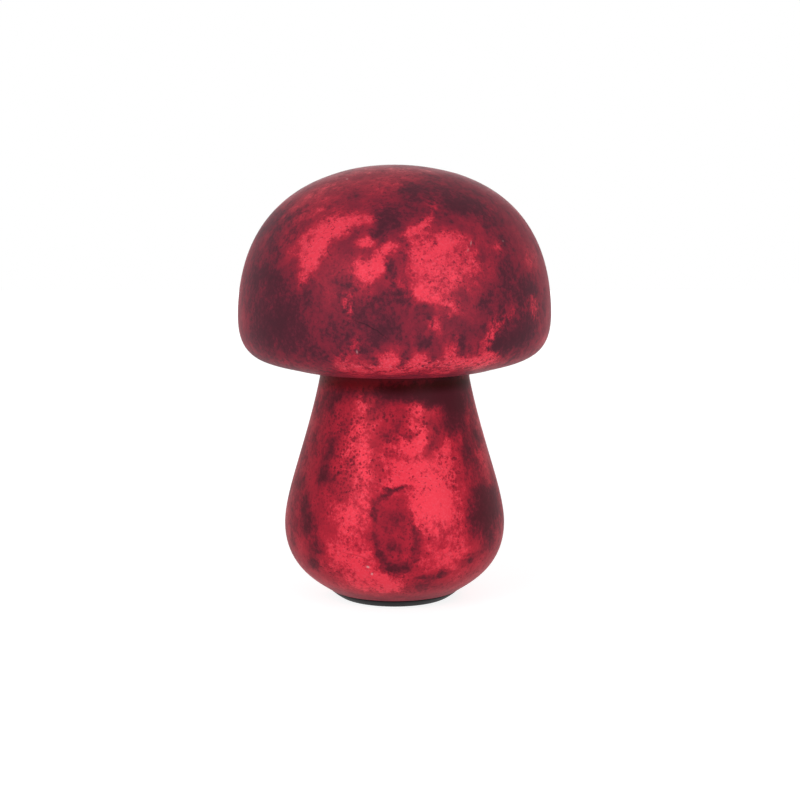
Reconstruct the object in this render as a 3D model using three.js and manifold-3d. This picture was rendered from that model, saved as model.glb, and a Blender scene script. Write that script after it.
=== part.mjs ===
// Garden mushroom ornament: a blown glass mushroom on a black battery light unit.
// Millimetres, +Z up. The origin is the middle of the ring that the foot rests on, and -Y is the front.

import * as THREE from "three";
import { mergeVertices } from "three/addons/utils/BufferGeometryUtils.js";
import Module from "manifold-3d";

const wasm = await Module();
wasm.setup();

// Driving sizes of the black foot and its plug
const footHeight = 3.2; // the black ring that shows below the glass
const restRadius = 22; // outer edge of the ring that touches the table
const restWidth = 3; // width of that ring
const footInset = 0.6; // the foot stands in by this much from the glass rim
const footBulge = 0.55; // how far the foot's edge curve is pushed out at each end
const undersideRecess = 1.2; // the underside lies this far above the table
const floorThickness = 2.4;
const plugRadius = 23.2; // the skirt that goes up inside the glass
const plugHeight = 12;
const plugWall = 1.6;
const ribThickness = 1.4;

// Driving sizes of the blown glass
const rimGap = 0.3; // glue line between the foot and the glass rim
const beadWidth = 1.4; // silicone between the plug and the opening
const beadHeight = 4.9;
const beadGap = 0.2;
const rimWidth = 2; // ground flat around the opening
const glassWall = 2.6;
const bellyRise = 26.9; // rim to widest ring of the stem
const bellyRadius = 44.9;
const stemRise = 59.6; // widest ring of the stem to the neck
const neckRadius = 30.4;
const neckHeight = 2.4; // the straight band under the cap
const lipRise = 4.5; // neck crease to the edge of the cap's underside
const lipRadius = 41.7;
const rollRise = 20.5; // underside to the cap's widest ring
const capRadius = 63;
const domeRise = 60; // widest ring to the top
const lipSlope = 16.4; // degrees that the underside falls towards the neck
const flareSlope = 11.3; // degrees that the stem leans out below the neck
const rimSlope = 37.7; // degrees of the glass above the rim

// Driving sizes of the two cells and of what holds them
const cellRadius = 7.25; // AA size
const canLength = 49.2;
const canShoulder = 0.8;
const canDish = 0.2; // depth of the dished end
const nubRadius = 2.75;
const nubHeight = 1.3;
const nubEdge = 0.3;
const cellClearance = 0.35;
const cellEndGap = 0.3;
const wellWeb = 0.2; // wall left between the two wells, opened by a window
const windowWidth = 7; // the opening between the wells
const towerWall = 1.6;
const towerTop = 2; // end wall above the cells
const contactThickness = 0.4;
const contactRadius = 5;
const contactStrip = 6.4; // width of the strip that joins the door's two contacts
const tabWidth = 3;
const tabClearance = 0.3;
const tabProud = 0.8; // how far a tab stands above the board
const dimpleHeight = 0.3;
const springHeight = 4;
const springWire = 0.4; // radius of the wire
const springTurns = 2.75;
const springWide = 4.2;
const springNarrow = 2.8;

// Driving sizes of the battery door and the screws
const doorThickness = 2;
const doorGap = 0.25;
const doorMargin = 1.4; // the door reaches this far past the wells
const doorLedge = 1.6; // thickness of the ledge that it closes against
const gripPitch = 1.6;
const gripWidth = 0.7;
const gripDepth = 0.4;
const gripLength = 7;
const screwShank = 1; // radius
const screwHead = 1.9; // radius
const screwHeadHeight = 1.1;
const screwLength = 6;
const screwGap = 0.15;
const screwWall = 1.4; // plastic left around a screw
const screwCross = 0.6; // width of the cross in the head

// Driving sizes of the circuit board and of what stands on it
const boardThickness = 1.2;
const boardStandoff = 1.6;
const bossRadius = 2.3;
const restLength = 8; // of the pads under the board's ends
const ledRadius = 2.5;
const ledCollar = 0.4;
const ledHeight = 8.6;
const ledPitch = 11;
const leadRadius = 0.3;
const leadSpan = 2.54;
const leadStub = 1.2; // legs that show between the board and an LED
const leadTail = 0.8; // how far a leg comes through under the board
const leadHole = 0.15;
const chip = { length: 4.9, width: 3.9, height: 1.5, lift: 0.15, pitch: 1.27, foot: 0.4, reach: 0.8 };
const crystal = { radius: 1, length: 6, lead: 0.2, leadApart: 0.8, leadReach: 1 };
const resistor = { length: 4.2, radius: 1.1, waist: 0.85, span: 6, lift: 1.4 };
const capacitor = { radius: 2, height: 5, groove: 0.2 };

// Driving sizes of the three-position slide switch and its wires
const switchLength = 12.4;
const switchWidth = 5.2;
const switchHeight = 4.4;
const switchFromTower = 3.7;
const switchWall = 0.6;
const switchTravel = 2; // one step either way from the middle
const knobLength = 2.6;
const knobWidth = 2;
const knobAboveTable = 0.3;
const shoeOverhang = 1; // the knob's shoe is longer than the knob by this at each end
const slideClearance = 0.3;
const pinLength = 2.4;
const pinPitch = 2.5;
const wireRadius = 0.6;
const wireGap = 0.25;

// Sizes worked out from the driving ones
const rimZ = footHeight + rimGap;
const bellyZ = rimZ + bellyRise;
const neckZ = bellyZ + stemRise;
const lipZ = neckZ + lipRise;
const widestZ = lipZ + rollRise;
const topZ = widestZ + domeRise;
const openingRadius = plugRadius + beadWidth + 2 * beadGap;
const rimRadius = openingRadius + rimWidth;
const footRadius = rimRadius - footInset;
const floorTop = undersideRecess + floorThickness;
const doorTop = undersideRecess + doorThickness;
const cellLength = canLength + nubHeight;
const wellRadius = cellRadius + cellClearance;
const wellX = wellRadius + wellWeb / 2;
const doorRadius = wellRadius + doorMargin;
const pocketRadius = doorRadius + doorGap;
const towerRadius = wellRadius + towerWall;
const lowerContactZ = doorTop + contactThickness;
const uprightCellZ = lowerContactZ + springHeight + cellEndGap;
const invertedCellZ = lowerContactZ + dimpleHeight + cellEndGap;
const upperContactZ = uprightCellZ + cellLength + cellEndGap + dimpleHeight;
const wellTopZ = upperContactZ + contactThickness;
const towerTopZ = wellTopZ + towerTop;
const boardZ = towerTopZ + boardStandoff;
const boardTopZ = boardZ + boardThickness;
const screwHole = screwShank + screwGap;
const screwY = towerRadius - screwHole - screwWall;
const tabSlot = [tabWidth + 2 * tabClearance, contactThickness + 2 * tabClearance];
const switchY = -(towerRadius + switchFromTower + switchWidth / 2);
const switchTopZ = floorTop + switchHeight;
const slotLength = knobLength + 2 * (switchTravel + slideClearance);

// Where things stand on the board, seen from above
const ledPlaces = { led_left: -ledPitch, led_middle: 0, led_right: ledPitch };
const chipAt = [0.62 * ledPitch, 0.6 * towerRadius];
const crystalAt = [-0.62 * ledPitch, 0.62 * towerRadius];
const resistorAt = [-0.65 * ledPitch, -0.6 * towerRadius];
const capacitorAt = [0.66 * ledPitch, -0.62 * towerRadius];
const wireEndY = -(towerRadius - 1.3);
const wireEnds = { on: -0.37 * ledPitch, common: 0.25 * ledPitch, timer: 0.42 * ledPitch };

// How finely each kind of round is cut, and how far joined solids reach into each other
const glassSides = 48;
const roundSides = 20;
const smallSides = 12;
const leadSides = 6;
const bite = 0.1;

const material = (color, roughness, metalness = 0) =>
  new THREE.MeshStandardMaterial({ color, roughness, metalness });
const finishes = {
  glass: material(0xa01c30, 0.38, 0.75),
  abs: material(0x0d0c0d, 0.35),
  silicone: material(0xd9d6cf, 0.45),
  nickel: material(0xc9c6bd, 0.3, 1),
  steel: material(0x8f9092, 0.35, 1),
  board: material(0x1f5a35, 0.55),
  led: material(0xf0dca0, 0.2),
  chip: material(0x17181a, 0.5),
  resistor: material(0xc9ad7c, 0.6),
  sleeve: material(0x2b2f36, 0.4),
  knob: material(0xe6e4de, 0.5),
  wireRed: material(0xb3202a, 0.5),
  wireBlack: material(0x1b1b1d, 0.5),
  wireWhite: material(0xe2e0dc, 0.5),
};

// Closed geometry to a solid that can be joined and cut, and back again

function toSolid(geometry) {
  const bare = new THREE.BufferGeometry().setIndex(geometry.index);
  bare.setAttribute("position", geometry.getAttribute("position"));
  const merged = mergeVertices(bare, 1e-4);
  const corner = merged.index.array;
  const kept = [];
  for (let i = 0; i < corner.length; i += 3) {
    const [a, b, c] = corner.slice(i, i + 3);
    if (a !== b && b !== c && a !== c) kept.push(a, b, c);
  }
  return new wasm.Manifold(
    new wasm.Mesh({
      numProp: 3,
      vertProperties: merged.attributes.position.array,
      triVerts: new Uint32Array(kept),
    }),
  );
}

function toGeometry(solid) {
  const mesh = solid.getMesh();
  const geometry = new THREE.BufferGeometry();
  geometry.setAttribute("position", new THREE.BufferAttribute(mesh.vertProperties, 3));
  geometry.setIndex(new THREE.BufferAttribute(mesh.triVerts, 1));
  const flat = geometry.toNonIndexed();
  flat.computeVertexNormals();
  return flat;
}

const joined = (solids) => solids.reduce((all, next) => all.add(next));
const without = (solid, cuts) => solid.subtract(joined(cuts));

// An outline of [radius, height] points, turned about the Z axis into a closed geometry
function turned(outline, sides = roundSides) {
  const points = outline.map(([r, z]) => new THREE.Vector2(r, z));
  const twiceArea = points.reduce((sum, p, i) => sum + p.cross(points[(i + 1) % points.length]), 0);
  if (twiceArea < 0) points.reverse(); // its faces look out when the outline runs anticlockwise
  if (points[0].x > 0) points.push(points[0].clone());
  return new THREE.LatheGeometry(points, sides).rotateX(Math.PI / 2);
}

const turnedSolid = (outline, sides) => toSolid(turned(outline, sides));

const rod = (radius, bottom, top, sides = smallSides) =>
  turnedSolid([[0, bottom], [radius, bottom], [radius, top], [0, top]], sides);

function extruded(shape, bottom, top) {
  const settings = { depth: top - bottom, bevelEnabled: false, curveSegments: 10 };
  return toSolid(new THREE.ExtrudeGeometry(shape, settings).translate(0, 0, bottom));
}

// A box given by its middle and its size in X and Y, and by its bottom and top
function block(x, y, sizeX, sizeY, bottom, top) {
  const box = new THREE.BoxGeometry(sizeX, sizeY, top - bottom);
  return toSolid(box.translate(x, y, (bottom + top) / 2));
}

// A rectangle along X with round ends, whose centres are halfStraight from the middle
function stadium(halfStraight, radius) {
  const quarter = Math.PI / 2;
  const shape = new THREE.Shape();
  shape.absarc(halfStraight, 0, radius, -quarter, quarter);
  shape.absarc(-halfStraight, 0, radius, quarter, 3 * quarter);
  return shape;
}

// A round section carried along a curve
function tube(curve, radius, steps, sides) {
  const ring = Array.from({ length: sides }, (_, i) => {
    const angle = (i * 2 * Math.PI) / sides;
    return new THREE.Vector2(radius * Math.cos(angle), radius * Math.sin(angle));
  });
  const settings = { steps, extrudePath: curve };
  return toSolid(new THREE.ExtrudeGeometry(new THREE.Shape(ring), settings));
}

// Blown glass: cap and stem in one piece, open at the foot

// The outside from the rim to the top: each curve has its two ends, the handle of each, and its steps
function glassCurves() {
  const ring = (r, z) => new THREE.Vector2(r, z);
  const handle = (from, length, degrees) => {
    const angle = THREE.MathUtils.degToRad(degrees);
    return ring(from.x + length * Math.cos(angle), from.y + length * Math.sin(angle));
  };
  const rim = ring(rimRadius, rimZ);
  const belly = ring(bellyRadius, bellyZ);
  const neck = ring(neckRadius, neckZ);
  const tuck = ring(neckRadius, neckZ + neckHeight);
  const lip = ring(lipRadius, lipZ);
  const widest = ring(capRadius, widestZ);
  const top = ring(0, topZ);
  const inward = lipRadius - neckRadius;
  const outward = capRadius - lipRadius;
  return [
    [rim, handle(rim, 0.176 * bellyRise, rimSlope), handle(belly, 0.664 * bellyRise, -90), belly, 5],
    [belly, handle(belly, 0.217 * stemRise, 90), handle(neck, 0.442 * stemRise, flareSlope - 90), neck, 6],
    [tuck, handle(tuck, 1.2 * lipRise, 90), handle(lip, 0.6 * inward, 180 + lipSlope), lip, 5],
    [lip, handle(lip, 0.506 * outward, lipSlope), handle(widest, 0.853 * rollRise, -90), widest, 6],
    [widest, handle(widest, 0.831 * domeRise, 90), handle(top, 0.39 * capRadius, 0), top, 9],
  ];
}

function glassOutline() {
  const outside = [];
  for (const [start, leave, arrive, end, steps] of glassCurves()) {
    const curve = new THREE.CubicBezierCurve(start, leave, arrive, end);
    for (let i = 0; i <= steps; i++) {
      const point = curve.getPoint(i / steps);
      const along = curve.getTangent(i / steps);
      if (!outside.at(-1)?.point.equals(point)) outside.push({ point, along });
    }
  }
  // The inside lies one wall behind every other ring, and nowhere narrows the opening
  const inside = outside
    .filter((_, i) => i % 2 === 0 && i < outside.length - 1)
    .map(({ point, along }) => {
      const radius = point.x - glassWall * along.y;
      const least = point.y < bellyZ ? openingRadius : 0;
      return [Math.max(radius, least), point.y + glassWall * along.x];
    });
  return [
    [0, topZ - glassWall],
    ...inside.reverse(),
    [openingRadius, rimZ],
    ...outside.map(({ point }) => [Math.max(0, point.x), point.y]),
  ];
}

// Light unit housing: foot ring, floor, plug skirt, and the tower with its two wells, moulded in one

function footOutline() {
  const edge = new THREE.CubicBezierCurve(
    new THREE.Vector2(restRadius, 0),
    new THREE.Vector2(restRadius + footBulge, 0),
    new THREE.Vector2(footRadius, footHeight - footBulge),
    new THREE.Vector2(footRadius, footHeight),
  );
  return [
    [0, undersideRecess],
    [restRadius - restWidth, undersideRecess],
    [restRadius - restWidth, 0],
    ...edge.getPoints(4).map((p) => [p.x, p.y]),
    [plugRadius, footHeight],
    [plugRadius, plugHeight],
    [plugRadius - plugWall, plugHeight],
    [plugRadius - plugWall, floorTop],
    [0, floorTop],
  ];
}

function housing() {
  const skirtInside = plugRadius - plugWall;
  const low = floorTop - bite;
  const ribTop = plugHeight - 1;
  const boss = rod(bossRadius, towerTopZ - bite, boardZ);
  const solids = [
    turnedSolid(footOutline(), glassSides),
    extruded(stadium(wellX, pocketRadius + towerWall), undersideRecess, doorTop + doorLedge),
    extruded(stadium(wellX, towerRadius), low, towerTopZ),
  ];
  const pilot = rod(screwHole, doorTop - bite, doorTop + screwLength + 0.6);
  const boardPilot = rod(screwHole, boardZ - screwLength - 0.6, boardZ + bite);
  const well = rod(wellRadius, 0, wellTopZ, 24);
  const cuts = [
    extruded(stadium(wellX, pocketRadius), 0, doorTop),
    block(0, 0, wellRadius, windowWidth, 0, wellTopZ),
    block(0, switchY, slotLength, knobWidth + 2 * slideClearance, 0, floorTop + bite),
  ];
  for (const side of [-1, 1]) {
    // Ribs from the tower out to the skirt, at its ends and across its back
    const endX = wellX + towerRadius - bite;
    const endReach = skirtInside + bite - endX;
    const backY = towerRadius - bite;
    const backReach = Math.sqrt(skirtInside ** 2 - wellX ** 2) + bite - backY;
    solids.push(block(side * (endX + endReach / 2), 0, endReach, ribThickness, low, ribTop));
    solids.push(block(side * wellX, backY + backReach / 2, ribThickness, backReach, low, ribTop));
    // Posts that hold the switch by its ends
    const postX = switchLength / 2 + slideClearance + ribThickness / 2;
    solids.push(block(side * postX, switchY, ribThickness, switchWidth, low, switchTopZ - 1));
    // Bosses and pads that carry the board
    solids.push(boss.translate([0, side * screwY, 0]));
    solids.push(block(side * (endX - ribThickness), 0, ribThickness, restLength, towerTopZ - bite, boardZ));
    cuts.push(well.translate([side * wellX, 0, 0]));
    cuts.push(pilot.translate([0, side * screwY, 0]));
    cuts.push(boardPilot.translate([0, side * screwY, 0]));
    cuts.push(block(side * wellX, 0, ...tabSlot, wellTopZ - bite, towerTopZ + bite));
  }
  return without(joined(solids), cuts);
}

// Silicone bead between the plug and the glass, with a smoothed shoulder
function bead() {
  const inner = plugRadius + beadGap;
  const bottom = footHeight + bite;
  return turned(
    [
      [inner, bottom],
      [inner + beadWidth, bottom],
      [inner + beadWidth, bottom + 0.5 * beadHeight],
      [inner + 0.6 * beadWidth, bottom + 0.9 * beadHeight],
      [inner, bottom + beadHeight],
    ],
    glassSides,
  );
}

// A cell standing on its dished end, with its nub on top
function cell() {
  const dishRadius = 0.7 * cellRadius;
  return turned([
    [0, canDish],
    [dishRadius - canDish, canDish],
    [dishRadius, 0],
    [cellRadius - canShoulder / 2, 0],
    [cellRadius, canShoulder / 2],
    [cellRadius, canLength - canShoulder],
    [cellRadius - 0.3 * canShoulder, canLength - 0.3 * canShoulder],
    [cellRadius - canShoulder, canLength],
    [nubRadius, canLength],
    [nubRadius, cellLength - nubEdge],
    [nubRadius - nubEdge, cellLength],
    [0, cellLength],
  ]);
}

// Contact spring: one wire wound as a cone, standing on its wide end

class ConeCoil extends THREE.Curve {
  getPoint(t, target = new THREE.Vector3()) {
    const angle = 2 * Math.PI * springTurns * t;
    const radius = THREE.MathUtils.lerp(springWide, springNarrow, t);
    const rise = (springHeight - 2 * springWire) * t;
    return target.set(radius * Math.cos(angle), radius * Math.sin(angle), springWire + rise);
  }
}

const coil = () => tube(new ConeCoil(), springWire, Math.round(8 * springTurns), 5);

// The least gap between the wire and itself, measured on points at least half a turn apart
function coilGap() {
  const path = new ConeCoil();
  const steps = 240;
  const halfTurn = Math.round((0.5 * steps) / springTurns);
  const points = path.getPoints(steps);
  let least = Infinity;
  for (let i = 0; i <= steps; i++) {
    for (let j = i + halfTurn; j <= steps; j++) least = Math.min(least, points[i].distanceTo(points[j]));
  }
  return least - 2 * springWire;
}

const contactDisc = () => rod(contactRadius, 0, contactThickness, roundSides);
const dimple = () => rod(0.8 * nubRadius, -bite, dimpleHeight);

// Upper contacts: a disc against the end wall, with a tab that comes up through the board
function upperContact(face) {
  const tabTop = boardTopZ + tabProud - upperContactZ;
  const tab = block(0, 0, tabWidth, contactThickness, contactThickness - bite, tabTop);
  return joined([contactDisc(), tab, face.rotate([180, 0, 0])]);
}

// Door contact: a strip that joins the two cells, with a spring under one and a dimple under the other
function doorContact() {
  return joined([
    contactDisc().translate([wellX, 0, 0]),
    contactDisc().translate([-wellX, 0, 0]),
    block(0, 0, 2 * wellX, contactStrip, 0, contactThickness),
    coil().translate([-wellX, 0, contactThickness - bite / 2]),
    dimple().translate([wellX, 0, contactThickness]),
  ]);
}

// Battery door: a plate with round ends, two sunk screw holes and grip grooves
function door() {
  const plate = extruded(stadium(wellX, doorRadius), undersideRecess, doorTop);
  const sink = rod(screwHead + screwGap, 0, undersideRecess + screwHeadHeight + screwGap);
  const hole = rod(screwHole, 0, doorTop + bite);
  const cuts = [];
  for (const side of [-1, 1]) {
    cuts.push(sink.translate([0, side * screwY, 0]), hole.translate([0, side * screwY, 0]));
    for (const groove of [-1, 0, 1]) {
      const x = side * (wellX + groove * gripPitch);
      cuts.push(block(x, 0, gripWidth, gripLength, 0, undersideRecess + gripDepth));
    }
  }
  return without(plate, cuts);
}

// A cross-head screw, head up, with the underside of its head at height zero
function screw() {
  const head = turnedSolid(
    [
      [0, 0],
      [screwHead, 0],
      [screwHead, 0.5 * screwHeadHeight],
      [0.8 * screwHead, screwHeadHeight],
      [0, screwHeadHeight],
    ],
    smallSides,
  );
  const shank = turnedSolid(
    [
      [0, -screwLength],
      [0.35 * screwShank, -screwLength],
      [screwShank, screwShank - screwLength],
      [screwShank, bite],
      [0, bite],
    ],
    smallSides,
  );
  const arm = 1.3 * screwHead;
  const bottom = 0.4 * screwHeadHeight;
  return without(joined([head, shank]), [
    block(0, 0, arm, screwCross, bottom, screwHeadHeight + bite),
    block(0, 0, screwCross, arm, bottom, screwHeadHeight + bite),
  ]);
}

// Circuit board, with a hole or slot for everything that comes through it
function board() {
  const plate = extruded(stadium(wellX, towerRadius), boardZ, boardTopZ);
  const low = boardZ - bite;
  const high = boardTopZ + bite;
  const leadHoleAt = (x, y) => rod(leadRadius + leadHole, low, high, leadSides).translate([x, y, 0]);
  const cuts = [];
  for (const side of [-1, 1]) {
    for (const x of Object.values(ledPlaces)) cuts.push(leadHoleAt(x + (side * leadSpan) / 2, 0));
    cuts.push(leadHoleAt(resistorAt[0] + (side * resistor.span) / 2, resistorAt[1]));
    cuts.push(rod(screwHole, low, high).translate([0, side * screwY, 0]));
    cuts.push(block(side * wellX, 0, ...tabSlot, low, high));
  }
  return without(plate, cuts);
}

// What stands on the board is drawn with the board's top at height zero

function led() {
  const straight = leadStub + ledHeight - ledRadius;
  const dome = [0.3, 0.65].map((share) => {
    const angle = (share * Math.PI) / 2;
    return [ledRadius * Math.cos(angle), straight + ledRadius * Math.sin(angle)];
  });
  const bulb = turnedSolid(
    [
      [0, leadStub],
      [ledRadius + ledCollar, leadStub],
      [ledRadius + ledCollar, leadStub + 1],
      [ledRadius, leadStub + 1],
      [ledRadius, straight],
      ...dome,
      [0, leadStub + ledHeight],
    ],
    smallSides,
  );
  const leg = rod(leadRadius, -boardThickness - leadTail, leadStub + bite, leadSides);
  const step = leadSpan / 2;
  return joined([bulb, leg.translate([-step, 0, 0]), leg.translate([step, 0, 0])]);
}

// Timer chip: a flat body with four feet a side, each out of the side and down to the board
function timerChip() {
  const solids = [block(0, 0, chip.length, chip.width, chip.lift, chip.height)];
  const kneeY = chip.width / 2 + chip.reach / 2;
  for (const step of [-1.5, -0.5, 0.5, 1.5]) {
    for (const side of [-1, 1]) {
      const y = side * kneeY;
      solids.push(block(step * chip.pitch, y, chip.foot, chip.reach + bite, chip.foot, 2 * chip.foot));
      solids.push(block(step * chip.pitch, y + side * 0.2, chip.foot, chip.foot, 0, 1.5 * chip.foot));
    }
  }
  return joined(solids);
}

// Clock crystal: a small can that lies on the board, its two legs bent down at one end
function clockCrystal() {
  const lying = (solid) => solid.rotate([0, 90, 0]).translate([0, 0, crystal.radius]);
  const end = crystal.length / 2;
  const knee = end + crystal.leadReach;
  const solids = [lying(rod(crystal.radius, -end, end))];
  for (const side of [-1, 1]) {
    const y = (side * crystal.leadApart) / 2;
    const out = lying(rod(crystal.lead, end - bite, knee, leadSides));
    const down = rod(crystal.lead, 0, crystal.radius + crystal.lead, leadSides);
    solids.push(out.translate([0, y, 0]), down.translate([knee, y, 0]));
  }
  return joined(solids);
}

// Resistor: a waisted body held off the board by two bent legs
function resistorBody() {
  const half = resistor.length / 2;
  const upper = [
    [resistor.waist, 0.35 * half],
    [resistor.radius, 0.5 * half],
    [resistor.radius, 0.8 * half],
    [0.7 * resistor.radius, half],
    [0, half],
  ];
  const lower = upper.map(([r, z]) => [r, -z]).reverse();
  const body = turnedSolid([...lower, ...upper], smallSides);
  const arm = rod(leadRadius, -resistor.span / 2, resistor.span / 2, leadSides);
  const leg = rod(leadRadius, -boardThickness - leadTail, resistor.lift + leadRadius, leadSides);
  return joined([
    joined([body, arm]).rotate([0, 90, 0]).translate([0, 0, resistor.lift]),
    leg.translate([-resistor.span / 2, 0, 0]),
    leg.translate([resistor.span / 2, 0, 0]),
  ]);
}

// Capacitor: a small can with a rolled groove above its foot
function capacitorCan() {
  const { radius, height, groove } = capacitor;
  return turned(
    [
      [0, 0],
      [radius, 0],
      [radius, 0.15 * height],
      [radius - groove, 0.2 * height],
      [radius, 0.25 * height],
      [radius, height - groove],
      [radius - groove, height],
      [0, height],
    ],
    smallSides,
  );
}

// Slide switch: a case with a slot below for the knob, room for its shoe, and four pins on top
function switchCase() {
  const shell = block(0, switchY, switchLength, switchWidth, floorTop, switchTopZ);
  const pins = [-1.5, -0.5, 0.5, 1.5].map((step) =>
    block(step * pinPitch, switchY, 0.8, 0.4, switchTopZ - bite, switchTopZ + pinLength),
  );
  const roomX = slotLength + 2 * shoeOverhang;
  const roomY = switchWidth - 2 * switchWall;
  return without(joined([shell, ...pins]), [
    block(0, switchY, slotLength, knobWidth + slideClearance, floorTop - bite, floorTop + 1),
    block(0, switchY, roomX, roomY, floorTop + switchWall, switchTopZ - switchWall),
  ]);
}

// Switch knob: a ridged button under the floor, its stem, and the shoe that runs in the case
function switchKnob() {
  const shoeBottom = floorTop + switchWall + slideClearance;
  const shoeTop = switchTopZ - switchWall - slideClearance;
  const shoeY = switchWidth - 2 * (switchWall + slideClearance);
  const stem = block(0, switchY, knobLength, knobWidth, knobAboveTable, shoeBottom + bite);
  const shoe = block(0, switchY, knobLength + 2 * shoeOverhang, shoeY, shoeBottom, shoeTop);
  const grooves = [-1, 0, 1].map((step) =>
    block(0.27 * knobLength * step, switchY, 0.3, 2 * knobWidth, 0, knobAboveTable + 0.3),
  );
  return without(joined([stem, shoe]), grooves);
}

// A wire from a switch pin, up the front of the tower and over the board's edge
function wire(pin, endX) {
  const pinX = pin * pinPitch;
  const face = -(towerRadius + wireRadius + wireGap);
  const start = switchTopZ + pinLength + wireGap;
  const route = [
    [pinX, switchY, start],
    [pinX, switchY, start + 2],
    [(pinX + endX) / 2, (switchY + face) / 2, start + 6],
    [endX, face, start + 12],
    [endX, face, (start + boardZ) / 2],
    [endX, face, boardZ - 3],
    [endX, face, boardTopZ + 0.6],
    [endX, (face + wireEndY) / 2, boardTopZ + 2.4],
    [endX, wireEndY, boardTopZ + 1.3],
    [endX, wireEndY, boardTopZ + 0.1],
  ];
  const points = route.map((point) => new THREE.Vector3(...point));
  return tube(new THREE.CatmullRomCurve3(points, false, "centripetal"), wireRadius, 22, 6);
}

// The ornament: the glass, and the light unit with its battery door and its board

const ornament = new THREE.Group();
const lightUnit = new THREE.Group();
const batteryDoor = new THREE.Group();
const boardParts = new THREE.Group();
ornament.name = "garden_mushroom_ornament";
boardParts.position.z = boardTopZ;
ornament.add(lightUnit);
lightUnit.add(batteryDoor, boardParts);

function place(group, name, shape, finish, [x, y, z] = [0, 0, 0]) {
  const mesh = new THREE.Mesh(shape.isBufferGeometry ? shape : toGeometry(shape), finish);
  mesh.name = name;
  mesh.position.set(x, y, z);
  group.add(mesh);
}

place(ornament, "glass_body", turned(glassOutline(), glassSides), finishes.glass);
place(ornament, "silicone_bead", bead(), finishes.silicone);
place(lightUnit, "light_unit_housing", housing(), finishes.abs);

const invertedCell = cell().rotateX(Math.PI).translate(0, 0, cellLength);
const [plateFace, springFace] = [dimple(), coil().translate([0, 0, -bite / 2])];
const [leftTop, rightTop] = [[-wellX, 0, upperContactZ], [wellX, 0, upperContactZ]];
place(lightUnit, "cell_upright", cell(), finishes.sleeve, [-wellX, 0, uprightCellZ]);
place(lightUnit, "cell_inverted", invertedCell, finishes.sleeve, [wellX, 0, invertedCellZ]);
place(lightUnit, "upper_contact_plate", upperContact(plateFace), finishes.nickel, leftTop);
place(lightUnit, "upper_contact_spring", upperContact(springFace), finishes.nickel, rightTop);

place(batteryDoor, "battery_door", door(), finishes.abs);
place(batteryDoor, "door_contact_strip", doorContact(), finishes.nickel, [0, 0, doorTop]);
for (const [end, side] of Object.entries({ front: -1, rear: 1 })) {
  const doorScrew = toGeometry(screw()).rotateX(Math.PI);
  const seat = undersideRecess + screwHeadHeight + screwGap;
  place(batteryDoor, `door_screw_${end}`, doorScrew, finishes.steel, [0, side * screwY, seat]);
  place(boardParts, `board_screw_${end}`, screw(), finishes.steel, [0, side * screwY, 0]);
}

place(lightUnit, "circuit_board", board(), finishes.board);
for (const [name, x] of Object.entries(ledPlaces)) place(boardParts, name, led(), finishes.led, [x, 0, 0]);
place(boardParts, "timer_chip", timerChip(), finishes.chip, [...chipAt, 0]);
place(boardParts, "clock_crystal", clockCrystal(), finishes.nickel, [...crystalAt, 0]);
place(boardParts, "resistor", resistorBody(), finishes.resistor, [...resistorAt, 0]);
place(boardParts, "capacitor", capacitorCan(), finishes.chip, [...capacitorAt, 0]);

place(lightUnit, "switch_case", switchCase(), finishes.steel);
place(lightUnit, "switch_knob", switchKnob(), finishes.knob);
place(lightUnit, "wire_on", wire(-1.5, wireEnds.on), finishes.wireRed);
place(lightUnit, "wire_common", wire(0.5, wireEnds.common), finishes.wireBlack);
place(lightUnit, "wire_timer", wire(1.5, wireEnds.timer), finishes.wireWhite);

console.log(`least gap of a contact spring to itself: ${coilGap().toFixed(2)} mm`);

export default ornament;
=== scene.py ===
import math

import bmesh
import bpy
from mathutils import Matrix, Vector, noise


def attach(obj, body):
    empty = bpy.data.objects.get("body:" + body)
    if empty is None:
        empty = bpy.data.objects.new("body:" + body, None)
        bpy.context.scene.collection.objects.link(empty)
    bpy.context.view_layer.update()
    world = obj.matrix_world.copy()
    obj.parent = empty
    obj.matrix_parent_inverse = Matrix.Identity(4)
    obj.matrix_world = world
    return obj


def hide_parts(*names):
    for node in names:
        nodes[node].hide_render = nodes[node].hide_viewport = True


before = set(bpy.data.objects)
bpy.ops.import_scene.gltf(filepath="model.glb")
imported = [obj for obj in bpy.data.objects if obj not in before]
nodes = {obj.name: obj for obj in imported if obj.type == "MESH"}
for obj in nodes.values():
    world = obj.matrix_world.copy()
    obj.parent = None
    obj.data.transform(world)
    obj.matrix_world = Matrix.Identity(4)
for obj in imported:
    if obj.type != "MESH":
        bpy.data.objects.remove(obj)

scene = bpy.context.scene
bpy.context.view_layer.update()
mm = 0.001
print("stage 1: the packed frame is loaded,", len(nodes), "nodes")


def placed(name, data):
    made = bpy.data.objects.new(name, data)
    scene.collection.objects.link(made)
    return made


def applied(made):  # the mesh that an object shows, with its modifiers; the object goes
    bpy.context.view_layer.update()
    mesh = bpy.data.meshes.new_from_object(made.evaluated_get(bpy.context.evaluated_depsgraph_get()))
    bpy.data.objects.remove(made)
    return mesh


# Camera

view = {
    "place": (0.0022, -0.750, 0.187),
    "lookDown": 8.0956,  # degrees below level
    "lens": 84.10,
    "sensor": 36,
    "picture": 800,  # the picture is square, this many pixels a side
}


def makeCamera():
    camera = placed("camera", bpy.data.cameras.new("camera"))
    camera.data.lens = view["lens"]
    camera.data.sensor_width = view["sensor"]
    camera.data.clip_start = 0.01
    camera.location = view["place"]
    camera.rotation_euler = (math.radians(90 - view["lookDown"]), 0, 0)
    scene.camera = camera
    bpy.context.view_layer.update()
    return camera


camera = makeCamera()
scene.view_settings.view_transform = "Standard"


# Sockets as values, and materials

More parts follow.
